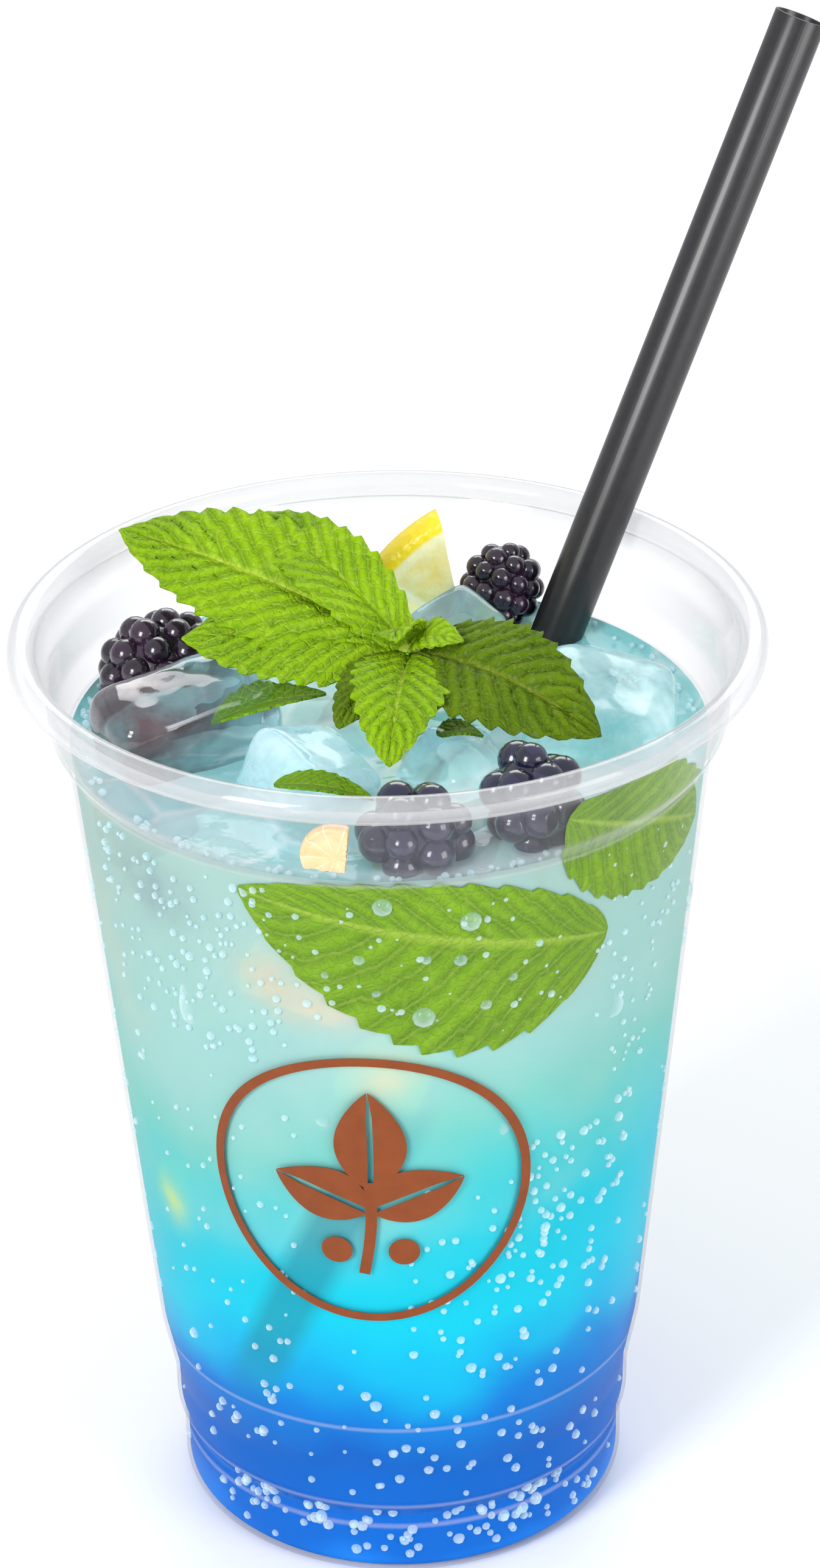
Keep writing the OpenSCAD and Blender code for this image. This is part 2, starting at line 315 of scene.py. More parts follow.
# Colours of the drink by height, as a share of the surface's height, then red, green and blue
DRINK_STOPS = [(0.00, 0.010, 0.230, 0.800), (0.05, 0.002, 0.130, 0.560), (0.17, 0.001, 0.110, 0.480),
               (0.24, 0.001, 0.190, 0.600), (0.30, 0.001, 0.420, 0.700), (0.36, 0.001, 0.540, 0.710),
               (0.46, 0.003, 0.560, 0.670), (0.55, 0.080, 0.620, 0.620), (0.65, 0.210, 0.650, 0.560),
               (0.78, 0.400, 0.700, 0.640), (1.00, 0.500, 0.700, 0.640)]
# How solid the drink looks, by the same share
DRINK_DEPTH = [(0, 0.98), (0.2, 0.97), (0.36, 0.93), (0.55, 0.78), (1, 0.58)]
# Soft patches of fruit and shade behind the wall: angle, height, half width, half height, strength and colour
DRINK_PATCHES = [
    (-22, 98, 5.0, 3.2, 0.75, (0.88, 0.60, 0.42)), (-13, 94, 6.0, 3.0, 0.75, (0.90, 0.66, 0.46)),
    (-1, 84, 4.0, 3.6, 0.65, (0.88, 0.74, 0.46)), (-57, 54, 3.4, 3.4, 0.75, (0.80, 0.78, 0.10)),
    (-47, 106, 6.0, 4.5, 0.45, (0.10, 0.13, 0.22)), (140, 80, 6.0, 4.0, 0.7, (0.88, 0.66, 0.36))]


def wall_patch(material, round_wall, height, turn, z, wide, tall):
    """1 at a place on the wall, fading to 0 a distance round it and up it, in mm."""
    mean_r = 38.0
    dx = maths(material, "MULTIPLY", maths(material, "SUBTRACT", round_wall, math.radians(turn)), mean_r / wide)
    dz = maths(material, "MULTIPLY", maths(material, "SUBTRACT", height, z * MM), 1.0 / (tall * MM))
    away = maths(material, "ADD", maths(material, "MULTIPLY", dx, dx), maths(material, "MULTIPLY", dz, dz))
    return maths(material, "EXPONENT", maths(material, "MULTIPLY", away, -1.0))


def drink_material():
    """Blue to pale green by height, tilted and swirled, with fruit and the straw showing dimly."""
    m = new_material("layered_blue_drink")
    at = place_in(m)
    axes = add(m, "SeparateXYZ", {0: at}).outputs
    swirl = speckle(m, 26, 3, at)
    height = maths(m, "ADD", axes[2], maths(m, "MULTIPLY", axes[0], -0.14))
    height = maths(m, "ADD", height, maths(m, "MULTIPLY_ADD", swirl, 0.034, -0.017))
    share = maths(m, "DIVIDE", height, LEVEL * MM, clamp=True)
    colour = ramp(m, share, DRINK_STOPS)
    mist = maths(m, "MULTIPLY_ADD", speckle(m, 70, 4), 1.6, -0.5, clamp=True)
    high = add(m, "MapRange", {0: share, 1: 0.40, 2: 0.62}).outputs[0]
    colour = blend(m, maths(m, "MULTIPLY", maths(m, "MULTIPLY", mist, high), 0.24), colour, (0.68, 0.86, 0.80))
    peach = maths(m, "MULTIPLY_ADD", speckle(m, 34, 3), 5.0, -2.9, clamp=True)
    colour = blend(m, maths(m, "MULTIPLY", maths(m, "MULTIPLY", peach, high), 0.30), colour, (0.84, 0.66, 0.42))
    round_wall = maths(m, "ARCTAN2", axes[0], maths(m, "MULTIPLY", axes[1], -1.0))
    rough_edge = maths(m, "MULTIPLY_ADD", speckle(m, 190, 4), 1.5, -0.1, clamp=True)
    for turn, z, wide, tall, strength, tone in DRINK_PATCHES:
        near = wall_patch(m, round_wall, axes[2], turn, z, wide, tall)
        colour = blend(m, maths(m, "MULTIPLY", maths(m, "MULTIPLY", near, rough_edge), strength), colour, tone)
    # The straw's dim streak, which turns round the wall as it rises
    aim = maths(m, "MULTIPLY_ADD", maths(m, "SUBTRACT", axes[2], 0.0717), 13.7, -0.065)
    off = maths(m, "ABSOLUTE", maths(m, "SUBTRACT", round_wall, aim))
    streak = add(m, "MapRange", {0: off, 1: 0.07, 2: 0.15, 3: 1.0, 4: 0.0}).outputs[0]
    ends = maths(m, "MULTIPLY", rise(m, axes[2], 24, 36), rise(m, axes[2], 80, 66))
    streak = maths(m, "MULTIPLY", streak, ends)
    colour = blend(m, maths(m, "MULTIPLY", streak, 0.62), colour, (0.01, 0.22, 0.30))
    clear = add(m, "BsdfTransparent", {"Color": colour}).outputs[0]
    body = add(m, "BsdfPrincipled", {"Base Color": colour, "Roughness": 0.5, "IOR": 1.33,
                                     "Specular IOR Level": 0.0}).outputs[0]
    glow = add(m, "BsdfTranslucent", {"Color": colour}).outputs[0]
    lit = add(m, "MixShader", {0: 0.1, 1: body, 2: glow}).outputs[0]
    opacity = ramp(m, share, [(stop, solid, solid, solid) for stop, solid in DRINK_DEPTH])
    return show(m, add(m, "MixShader", {0: opacity, 1: clear, 2: lit}).outputs[0])


def drink_top_material():
    """The surface, with the ice under it showing as pale patches that have painted highlights along their edges."""
    m = new_material("drink_surface")
    at = place_in(m)
    warp = add(m, "TexNoise", {"Vector": at, "Scale": 60.0, "Detail": 2.0}).outputs["Color"]
    bent = add(m, "VectorMath", {0: at, 1: add(m, "VectorMath", {0: warp, 3: 0.006}, operation="SCALE").outputs[0]},
               operation="ADD").outputs[0]
    cells = add(m, "TexVoronoi", {"Vector": bent, "Scale": 72.0})
    edges = add(m, "TexVoronoi", {"Vector": bent, "Scale": 72.0}, feature="DISTANCE_TO_EDGE").outputs["Distance"]
    block = add(m, "SeparateColor", {0: cells.outputs["Color"]}).outputs[0]
    tone = maths(m, "MULTIPLY_ADD", speckle(m, 150, 4, at), 0.5, -0.15)
    tone = maths(m, "MULTIPLY_ADD", block, 0.75, tone, clamp=True)
    colour = blend(m, tone, (0.20, 0.66, 0.72), (0.74, 0.92, 0.92))
    # Painted highlight: bright lines along the edges of the ice under the surface
    line = maths(m, "MULTIPLY_ADD", edges, -16.0, 1.0, clamp=True)
    colour = blend(m, maths(m, "MULTIPLY", line, 0.6), colour, (0.90, 0.98, 1.0))
    clear = add(m, "BsdfTransparent", {"Color": (0.75, 0.95, 0.95, 1)}).outputs[0]
    normal = bumps(m, maths(m, "ADD", block, speckle(m, 240, 3, at)), 0.5, 0.35)
    body = add(m, "BsdfPrincipled", {"Base Color": colour, "Roughness": 0.05, "IOR": 1.33,
                                     "Normal": normal}).outputs[0]
    return show(m, add(m, "MixShader", {0: 0.62, 1: clear, 2: body}).outputs[0])


def ice_material(name, tint, cloud, shaded=False):
    """Wet ice; shaded ice has a dark end painted towards the berry, standing in for the berry seen through it and
    for dark reflections.
    """
    m = new_material(name)
    frost = speckle(m, 160, 4)
    normal = bumps(m, speckle(m, 120, 3), 0.5, 0.5)
    glass = add(m, "BsdfPrincipled", {"Base Color": (*tint, 1), "Roughness": 0.04, "IOR": 1.31,
                                      "Transmission Weight": 1.0, "Normal": normal}).outputs[0]
    milk = add(m, "BsdfPrincipled", {"Base Color": (*[0.5 + 0.5 * c for c in tint], 1), "Roughness": 0.2,
                                     "Normal": normal}).outputs[0]
    fog = maths(m, "MULTIPLY", maths(m, "MULTIPLY_ADD", frost, 1.6, -0.3, clamp=True), 2.4 * cloud)
    solid = add(m, "MixShader", {0: fog, 1: glass, 2: milk}).outputs[0]
    # Painted dark end towards -X: the berry seen through the ice, with painted dark and reddish reflections
    if shaded:
        side = add(m, "SeparateXYZ", {0: place_in(m)}).outputs[0]
        near = rise(m, side, -15, -31)
        patchy = maths(m, "MULTIPLY_ADD", speckle(m, 170, 3), 3.2, -0.9, clamp=True)
        berry_and_dark_reflection = blend(m, speckle(m, 260, 2), (0.010, 0.012, 0.028), (0.13, 0.07, 0.07))
        shade = add(m, "BsdfPrincipled", {"Base Color": berry_and_dark_reflection, "Roughness": 0.05, "Normal": normal,
                                          "Coat Weight": 1.0}).outputs[0]
        solid = add(m, "MixShader", {0: maths(m, "MULTIPLY", near, patchy), 1: solid, 2: shade}).outputs[0]
    clear = add(m, "BsdfTransparent", {"Color": (*[0.3 + 0.7 * c for c in tint], 1)}).outputs[0]
    lamp = add(m, "LightPath").outputs["Is Shadow Ray"]
    return show(m, add(m, "MixShader", {0: lamp, 1: solid, 2: clear}).outputs[0])


def sunk_ice_material():
    """Ice under the surface, which shows mostly at its edges."""
    m = new_material("sunk_ice")
    clear = add(m, "BsdfTransparent", {"Color": (0.93, 0.98, 0.98, 1)}).outputs[0]
    colour = blend(m, speckle(m, 120, 3), (0.45, 0.75, 0.78), (0.85, 0.95, 0.95))
    body = add(m, "BsdfPrincipled", {"Base Color": colour, "Roughness": 0.1}).outputs[0]
    return show(m, add(m, "MixShader", {0: maths(m, "MULTIPLY_ADD", grazing(m, 1.6), 0.75, 0.12),
                                        1: clear, 2: body}).outputs[0])


def bubble_material(name, least):
    """A bubble's bright skin, see-through in its middle down to a least share."""
    m = new_material(name)
    clear = add(m, "BsdfTransparent", {"Color": (0.95, 0.99, 1, 1)}).outputs[0]
    colour = blend(m, speckle(m, 400, 1), (0.50, 0.86, 0.94), (0.88, 0.98, 1.0))
    skin = add(m, "BsdfPrincipled", {"Base Color": colour, "Roughness": 0.05, "Coat Weight": 1.0}).outputs[0]
    return show(m, add(m, "MixShader", {0: maths(m, "MULTIPLY_ADD", grazing(m, 1.3), 0.55, least),
                                        1: clear, 2: skin}).outputs[0])


def leaf_material(name, light, dark, vein, teeth, roughness, glow):
    """A mint leaf; the piece's own map runs from stalk to tip and from edge to edge."""
    m = new_material(name)
    own = add(m, "SeparateXYZ", {0: add(m, "TexCoord").outputs["UV"]}).outputs
    across = maths(m, "ABSOLUTE", maths(m, "MULTIPLY_ADD", own[1], 2.0, -1.0))
    run = maths(m, "MULTIPLY", maths(m, "SUBTRACT", own[0], maths(m, "MULTIPLY", across, VEIN_SLANT)), float(teeth))
    run = maths(m, "ADD", run, maths(m, "MULTIPLY_ADD", speckle(m, 110, 2), 0.7, -0.35))
    between = maths(m, "ABSOLUTE", maths(m, "SUBTRACT", maths(m, "FRACT", run), 0.5))
    side_vein = maths(m, "MULTIPLY_ADD", between, 9.0, -3.6, clamp=True)
    middle = maths(m, "MULTIPLY_ADD", across, -14.0, 1.15, clamp=True)
    at = place_in(m)
    net = add(m, "TexVoronoi", {"Vector": at, "Scale": 900.0}, feature="DISTANCE_TO_EDGE").outputs["Distance"]
    net = maths(m, "MULTIPLY_ADD", net, 6.0, 0.0, clamp=True)
    patch = maths(m, "MULTIPLY_ADD", speckle(m, 130, 4, at), 2.4, -0.7, clamp=True)
    # Painted shade in the creases: each strip between side veins is darkest next to its veins and lightest in its
    # middle
    lobe_painted_light = maths(m, "MULTIPLY_ADD", between, -2.6, 1.25, clamp=True)
    tone = maths(m, "ADD", maths(m, "MULTIPLY", patch, 0.45), maths(m, "MULTIPLY", lobe_painted_light, 0.6), clamp=True)
    colour = blend(m, tone, dark, light)
    colour = blend(m, maths(m, "MULTIPLY", maths(m, "SUBTRACT", 1.0, net), 0.25), colour, vein)
    colour = blend(m, maths(m, "MULTIPLY", side_vein, 0.5), colour, vein)
    colour = blend(m, maths(m, "MULTIPLY", middle, 0.75), colour, vein)
    normal = bumps(m, net, 0.16, 0.8)
    blade = add(m, "BsdfPrincipled", {"Base Color": colour, "Roughness": roughness, "Specular IOR Level": 0.16,
                                      "Normal": normal}).outputs[0]
    through = add(m, "BsdfTranslucent", {"Color": colour, "Normal": normal}).outputs[0]
    return show(m, add(m, "MixShader", {0: glow, 1: blade, 2: through}).outputs[0])


def stem_material():
    """Pale and mid green in soft patches."""
    m = new_material("mint_stem")
    colour = blend(m, speckle(m, 200, 3), (0.16, 0.30, 0.02), (0.35, 0.52, 0.06))
    return show(m, add(m, "BsdfPrincipled", {"Base Color": colour, "Roughness": 0.4,
                                             "Subsurface Weight": 0.15}).outputs[0])


def berry_material(name, deep, bloom):
    """Near-black wet skin, with each patch of cells between the deep colour and its bloom."""
    m = new_material(name)
    at = place_in(m)
    cells = add(m, "TexVoronoi", {"Vector": at, "Scale": 260.0}).outputs["Color"]
    tone = add(m, "SeparateColor", {0: cells}).outputs[0]
    colour = blend(m, tone, deep, bloom)
    skin = maths(m, "MULTIPLY_ADD", speckle(m, 500, 2, at), 0.2, 0.10)
    return show(m, add(m, "BsdfPrincipled", {"Base Color": colour, "Roughness": skin, "Coat Weight": 0.7,
                                             "Coat Roughness": 0.06, "IOR": 1.45,
                                             "Normal": bumps(m, speckle(m, 900, 2, at), 0.05, 0.5)}).outputs[0])


def straw_material():
    """Black plastic with a fine grain drawn along it and a little dust."""
    m = new_material("black_straw")
    own = add(m, "TexCoord").outputs["UV"]
    stretched = add(m, "Mapping", {"Vector": own, "Scale": (90, 2.5, 1)}).outputs[0]
    grain = speckle(m, 1.0, 3, stretched)
    dust = maths(m, "MULTIPLY_ADD", speckle(m, 900, 3), 2.0, -0.8, clamp=True)
    colour = blend(m, grain, (0.008, 0.007, 0.008), (0.018, 0.016, 0.018))
    colour = blend(m, maths(m, "MULTIPLY", dust, 0.12), colour, (0.06, 0.06, 0.06))
    rough = maths(m, "MULTIPLY_ADD", grain, 0.14, 0.24)
    return show(m, add(m, "BsdfPrincipled", {"Base Color": colour, "Roughness": rough,
                                             "Normal": bumps(m, grain, 0.03, 0.4)}).outputs[0])


def lemon_material(name, centre, turn, radius, flesh, pale):
    """Rind, pith and flesh by distance from the wheel's centre."""
    m = new_material(name)
    local = add(m, "Mapping", {"Vector": place_in(m), "Location": [c * MM for c in centre],
                               "Rotation": [math.radians(t) for t in turn]}, vector_type="TEXTURE").outputs[0]
    x, y = add(m, "SeparateXYZ", {0: local}).outputs[:2]
    reach = maths(m, "SQRT", maths(m, "ADD", maths(m, "MULTIPLY", x, x), maths(m, "MULTIPLY", y, y)))
    reach = maths(m, "DIVIDE", reach, radius * MM)
    around = maths(m, "MULTIPLY", maths(m, "ARCTAN2", y, x), LEMON_PARTS / math.tau)
    gap = maths(m, "ABSOLUTE", maths(m, "SUBTRACT", maths(m, "FRACT", around), 0.5))
    skin = maths(m, "MULTIPLY_ADD", maths(m, "SUBTRACT", gap, 0.44), 18.0, 0.0, clamp=True)
    pulp = maths(m, "MULTIPLY_ADD", speckle(m, 520, 3), 1.8, -0.4, clamp=True)
    inside = blend(m, pulp, flesh, pale)
    inside = blend(m, maths(m, "MULTIPLY", skin, 0.8), inside, (0.93, 0.90, 0.70))
    pith = maths(m, "MULTIPLY_ADD", reach, 40.0, -40.0 * PITH, clamp=True)
    rind = maths(m, "MULTIPLY_ADD", reach, 50.0, -50.0 * RIND, clamp=True)
    colour = blend(m, pith, inside, (0.95, 0.88, 0.52))
    colour = blend(m, rind, colour, (0.93, 0.72, 0.02))
    pores = add(m, "TexVoronoi", {"Vector": place_in(m), "Scale": 900.0}).outputs["Distance"]
    normal = bumps(m, blend(m, rind, pulp, pores), 0.25, 0.6)
    return show(m, add(m, "BsdfPrincipled", {"Base Color": colour, "Roughness": 0.28, "Normal": normal,
                                             "Subsurface Weight": 0.25,
                                             "Subsurface Radius": (0.004, 0.003, 0.001)}).outputs[0])


def print_material():
    """Matt brown ink, a little uneven."""
    m = new_material("brown_print")
    tone = speckle(m, 350, 4)
    colour = blend(m, tone, (0.150, 0.036, 0.010), (0.230, 0.058, 0.016))
    return show(m, add(m, "BsdfPrincipled", {"Base Color": colour, "Roughness": 0.5, "Specular IOR Level": 0.15,
                                             "Normal": bumps(m, tone, 0.02, 0.4)}).outputs[0])


def floor_material():
    """Plain pale floor."""
    m = new_material("pale_floor")
    colour = blend(m, speckle(m, 6, 2), (0.81, 0.81, 0.80), (0.84, 0.84, 0.83))
    return show(m, add(m, "BsdfPrincipled", {"Base Color": colour, "Roughness": 0.7}).outputs[0])


# ---- cup ----
def cup_shell():
    """The cup: foot ring, grooves, tapered wall, stacking shoulder, neck, flare and rolled rim."""
    def skin_line(inset):
        """The outer skin above its foot, set in."""
        return [(r - inset, z) for r, z in SKIN[1:]]
    under = [(0, 5.0), (25.0, 5.0), (26.5, 0), (28.6, 0), (29.9, 0.5), (30.5, 1.9)]
    bead_z = CUP_H - BEAD_R
    bead = []
    steps = 24
    for k in range(steps + 1):
        a = math.radians(-144 + 324 * k / steps)
        bead.append((RIM_R - BEAD_R + BEAD_R * math.cos(a), bead_z + BEAD_R * math.sin(a)))
    inner = [(RIM_R - 2 * BEAD_R, bead_z - 0.6)] + skin_line(WALL)[::-1]
    low = [(29.9, 1.9), (28.6, WALL), (27.1, WALL), (25.3, FLOOR_Z), (0, FLOOR_Z)]
    outside = rounded(under + skin_line(0) + [bead[0]])
    inside = rounded([bead[-1]] + inner + low)
    return spun("cup_shell", outside + bead[1:-1] + inside)


# ---- drink ----
def drink_body():
    """The drink, which reaches just into the cup's wall, with a meniscus and a gently waved surface."""
    seat = WALL - 0.1
    low = [(0, FLOOR_Z - 0.1), (25.2, FLOOR_Z - 0.1), (27.0, 0.5), (28.7, 0.5), (30.0, 1.9)]
    side = [(r - seat, z) for r, z in SKIN[1:6]]
    edge = skin_r(LEVEL) - seat
    top = [(edge, LEVEL + 0.9), (edge - 0.4, LEVEL + 0.45), (edge - 1.0, LEVEL + 0.15), (edge - 1.9, LEVEL)]
    ring = 1.4
    r = edge - 3.2
    while r > ring:
        top.append((r, LEVEL))
        r -= ring
    piece = spun("drink_body", rounded(low + side) + top + [(0, LEVEL)])
    waved = edge - 1.5
    for vertex in piece.data.vertices:
        x, y, z = vertex.co / MM
        reach = math.hypot(x, y)
        if z > LEVEL - 0.01 and reach < waved:
            calm = min(1.0, (waved - reach) / 6)
            vertex.co.z += 0.55 * calm * MM * noise.noise(Vector((x * 0.11, y * 0.11, 3)))
            vertex.co.z += 0.25 * calm * MM * noise.noise(Vector((x * 0.3, y * 0.3, 7)))
    smooth(piece, 60)
    return piece


# ---- ice ----
def ice_lump(name, at, sides, turn, melt, seed):
    """A block of ice with melted edges and shallow dimples."""
    pick_none()
    bpy.ops.mesh.primitive_cube_add(size=MM)
    piece = added(name)
    bpy.ops.transform.resize(value=sides)
    bpy.ops.mesh.bevel(offset=min(sides) * melt * MM, segments=5, profile=0.6, affect="EDGES")
    bpy.ops.mesh.select_all(action="SELECT")
    bpy.ops.mesh.subdivide(number_cuts=3)
    pick_none()
    modify(piece, "REMESH", mode="VOXEL", voxel_size=0.55 * MM)
    for vertex in piece.data.vertices:
        p = vertex.co / MM
        dent = noise.noise(Vector((p.x * 0.14 + seed, p.y * 0.14, p.z * 0.14)))
        dent += 0.35 * noise.noise(Vector((p.x * 0.4, p.y * 0.4 + seed, p.z * 0.4)))
        vertex.co *= 1 + 0.055 * dent
    modify(piece, "SMOOTH", factor=0.8, iterations=6)
    smooth(piece, 180)
    put(piece, at, turn)
    return piece


def node_centre(node):
    """The middle of a CAD node's box, in mm."""
    low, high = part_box(node)
    return (low + high) / 2 / MM


# ---- berries ----
BERRY_LONG = 1.12


def drupelet(size):
    """One juicy bead of a berry."""
    pick_none()
    bpy.ops.mesh.primitive_uv_sphere_add(segments=14, ring_count=9, radius=size * MM)
    piece = added("drupelet")
    bpy.ops.transform.resize(value=(1, 1, 0.94))
    bpy.ops.object.mode_set(mode="OBJECT")
    smooth(piece, 180)
    return piece


def berry(name, at, across, yaw, pitch, seed, share):
    """Staggered rows of beads round a dark core, a little longer than wide."""
    draw = random.Random(seed)
    radius = across / 2
    bead = share * radius
    model = drupelet(bead)
    beads = []
    rows = round(math.pi * (radius - bead) / (1.55 * bead))
    for row in range(rows):
        slope = math.pi * (row + 0.42) / (rows - 0.16)
        count = max(1, round(math.tau * math.sin(slope) * (radius - bead) / (1.78 * bead)))
        for k in range(count):
            around = math.tau * (k + 0.5 * (row % 2)) / count + draw.uniform(-0.06, 0.06)
            out = Vector((math.sin(slope) * math.cos(around), math.sin(slope) * math.sin(around),
                          math.cos(slope)))
            place = (radius - bead * draw.uniform(0.98, 1.12)) * Vector((out.x, out.y, out.z * BERRY_LONG))
            twin = copy_of(model, "bead")
            size = draw.uniform(0.93, 1.1)
            twin.matrix_world = (Matrix.Translation(place * MM) @ out.to_track_quat("Z", "Y").to_matrix().to_4x4()
                                 @ Matrix.Scale(size, 4))
            beads.append(twin)
    bpy.data.objects.remove(model)
    pick_none()
    bpy.ops.mesh.primitive_uv_sphere_add(segments=32, ring_count=18, radius=(radius - bead * 0.9) * MM)
    core = added("core")
    bpy.ops.transform.resize(value=(1, 1, BERRY_LONG))
    bpy.ops.object.mode_set(mode="OBJECT")
    smooth(core, 180)
    piece = joined([core] + beads, name)
    settle(piece)
    put(piece, at, (0, pitch, yaw))
    return piece


# ---- mint ----
def blade_width(u, teeth, cut=0.16):
    """Share of a leaf's half width at a share of its length, with teeth that point to the tip."""
    plain = max(0.02, math.sin(math.pi * u ** 0.78)) ** 0.72 if u < 1 else 0.02
    saw = (u * teeth) % 1
    bite = cut * (saw - 0.5) if 0.08 < u < 0.97 else 0
    return max(0.04, plain * (1 + bite))


def quilt(u, s, teeth):
    """Height of a leaf's surface between its veins, 0 on a vein and 1 midway."""
    run = (u - VEIN_SLANT * abs(s)) * teeth
    swell = math.sin(math.pi * (run % 1)) ** 0.6
    return swell * min(1, abs(s) * 6) * (1 - 0.5 * abs(s)) * min(1, 6 * u) * min(1, 5 * (1 - u) + 0.1)


def leaf_blade(name, spot, along=64, across=20, thick=0.34):
    """A grid shaped by spot(u, s), from stalk to tip and from -1 to 1 across, given its thickness."""
    pick_none()
    bpy.ops.mesh.primitive_grid_add(x_subdivisions=along, y_subdivisions=across, size=1, calc_uvs=True)
    piece = bpy.context.object
    piece.name = piece.data.name = name
    for vertex in piece.data.vertices:
        vertex.co = spot(vertex.co.x + 0.5, 2 * vertex.co.y) * MM
    modify(piece, "SOLIDIFY", thickness=thick * MM, offset=0)
    smooth(piece, 50)
    return piece


# Each leaf's name, tip from the joint, half width, direction of the width, arch, fold, teeth and kind; the deep
# kind is the bright colours darkened, as painted shade
LEAVES = [
    ("leaf_big_left", (-38, 22, 7.6), 9.0, (0.1, 0.82, 0.56), 3.2, 0.16, 13, "bright"),
    ("leaf_low_left", (-29.5, 4.5, 0.2), 7.8, (0.2, 0.86, 0.42), 1.8, 0.10, 11, "bright"),
    ("leaf_folded", (-22, 23.5, 8.5), 5.4, (0.70, 0.62, 0.36), 4.4, 0.30, 11, "bright"),
    ("leaf_right", (23.4, -16.5, -4.2), 8.4, (0.3, 0.86, 0.42), 3.4, 0.12, 11, "deep"),
    ("leaf_front", (-3.2, -21, -5.4), 6.2, (1, 0.05, 0), 2.6, 0.12, 10, "bright"),
    ("leaf_dark", (-9.5, -14.5, -3.4), 4.6, (0.8, -0.55, 0), 1.2, 0.10, 9, "deep"),
    ("leaf_curl", (-2, -6, 4.2), 3.4, (0.95, 0, 0.25), 1.8, 0.30, 7, "bright"),
    ("leaf_bud", (6.5, -4.5, 3.2), 3.0, (0.4, 0.8, 0.3), 1.6, 0.30, 7, "bright")]


def sprig_leaf(name, tip, half, side, arch, fold, teeth):
    """A leaf that grows from the joint, arched along its length, folded at its midrib and quilted."""
    tip = Vector(tip)
    along = tip.normalized()
    side = Vector(side)
    side = (side - along * side.dot(along)).normalized()
    up = along.cross(side)
    if up.z < 0:
        up = -up

    def spot(u, s):
        w = half * blade_width(u, teeth)
        lift = arch * math.sin(math.pi * u) + fold * w * abs(s) - 0.14 * w * s * s
        lift += 0.15 * half * (quilt(u, s, teeth) - 0.5)
        lift += 0.05 * half * math.sin(9 * u + 2 * s) * abs(s)
        return LEAF_JOINT + tip * u + side * w * s + up * lift
    return leaf_blade(name, spot)


def mint_stem():
    """A round stem that swells at its joints."""
    line = STEM_FOOT - LEAF_JOINT
    rings = 24
    profile = [(0, -line.length)]
    for k in range(rings + 1):
        u = k / rings
        swell = 1.35 + 0.3 * abs(math.cos(math.pi * 3 * u)) ** 6
        profile.append((swell, -line.length * (1 - u)))
    profile += [(1.2, 0.5), (0.6, 1.0), (0, 1.1)]
    piece = spun("mint_stem", profile, 20)
    turn = (-line).to_track_quat("Z", "X")
    piece.matrix_world = Matrix.Translation(LEAF_JOINT * MM) @ turn.to_matrix().to_4x4()
    settle(piece)
    smooth(piece, 60)
    return piece


def sunk_leaf(name, start, end, upper, lower, teeth):
    """A leaf pressed against the wall from start to end, each (distance round from the front, height)."""
    mean_r, top, inset = 40, 122.5, 0.42
    a, b = Vector(start), Vector(end)
    along = (b - a).normalized()
    up = Vector((-along.y, along.x))
    if up.y < 0:
        up = -up

    def spot(u, s):
        w = blade_width(u, teeth, 0.10) * (upper if s > 0 else lower)
        p = a + (b - a) * u + up * w * s
        return on_wall(math.degrees(p.x / mean_r), min(p.y, top), inset - 0.22 * quilt(u, s, teeth))
    return leaf_blade(name, spot, thick=0.12)


# ---- lemon ----
def lemon_wedge(name, radius, thick, side, lean, under):
    """Part of a lemon wheel, facing up, with its flesh dented at the membranes.

    One straight cut passes a side distance from the centre and leans by degrees; the other is square
    to it, a distance under the centre.
    """
    half = thick / 2
    fully_dented = 2.7
    part = 360 / LEMON_PARTS
    face = [(k * radius / 16, half) for k in range(1, 15)]
    rim = [(0.935 * radius, half), (0.975 * radius, half * 0.86), (radius, half * 0.4), (radius, -half * 0.4),
           (0.975 * radius, -half * 0.86), (0.935 * radius, -half)]
    steps = 120 if radius > 20 else 40
    piece = spun(name, [(0, half)] + face + rim + [(r, -z) for r, z in face[::-1]] + [(0, -half)], steps)
    for vertex in piece.data.vertices:
        x, y, z = vertex.co / MM
        reach = math.hypot(x, y)
        if reach < PITH * radius:
            gap = abs((math.degrees(math.atan2(y, x)) / part) % 1 - 0.5)
            near = (0.5 - gap) * math.radians(part) * reach
            dent = 0.45 * math.exp(-(near / 0.7) ** 2) + 0.25 * (1 - noise.noise(Vector((x, y, z)) * 0.8))
            vertex.co.z -= math.copysign(dent * half / fully_dented * MM, z)
    lean = math.radians(lean)
    across = Vector((math.cos(lean), -math.sin(lean), 0))
    down = Vector((-across.y, across.x, 0))
    pick(piece)
    bpy.ops.object.mode_set(mode="EDIT")
    start = Vector((-side, 0, 0))
    for point, normal in ((start, across), (start - down * under, -down)):
        bpy.ops.mesh.select_all(action="SELECT")
        bpy.ops.mesh.bisect(plane_co=point * MM, plane_no=normal, use_fill=True, clear_outer=True)
    bpy.ops.mesh.select_all(action="SELECT")
    bpy.ops.mesh.remove_doubles(threshold=0.002 * MM)
    bpy.ops.object.mode_set(mode="OBJECT")
    smooth(piece, 50)
    return piece


# ---- straw ----
def straw_tube():
    """The straw, from the cup's floor to where it leans on the rim and on past it."""
    foot = Vector((-19.67, 7.35, 7.15))
    length, radius = 205.0, 3.5
    rest = Vector((28.22, 30.05, 127.2))
    along = (rest - foot).normalized()
    pick_none()
    bpy.ops.mesh.primitive_cylinder_add(vertices=56, radius=radius * MM, depth=length * MM, end_fill_type="NOTHING",
                                        location=(0, 0, length / 2 * MM))
    piece = added("straw_tube")
    bpy.ops.mesh.subdivide(number_cuts=2)
    pick_none()
    modify(piece, "SOLIDIFY", thickness=0.4 * MM, offset=-1)
    modify(piece, "BEVEL", width=0.12 * MM, segments=2, limit_method="ANGLE", angle_limit=math.radians(60))
    settle(piece)
    piece.matrix_world = Matrix.Translation(foot * MM) @ along.to_track_quat("Z", "X").to_matrix().to_4x4()
    settle(piece)
    smooth(piece, 40)
    return piece


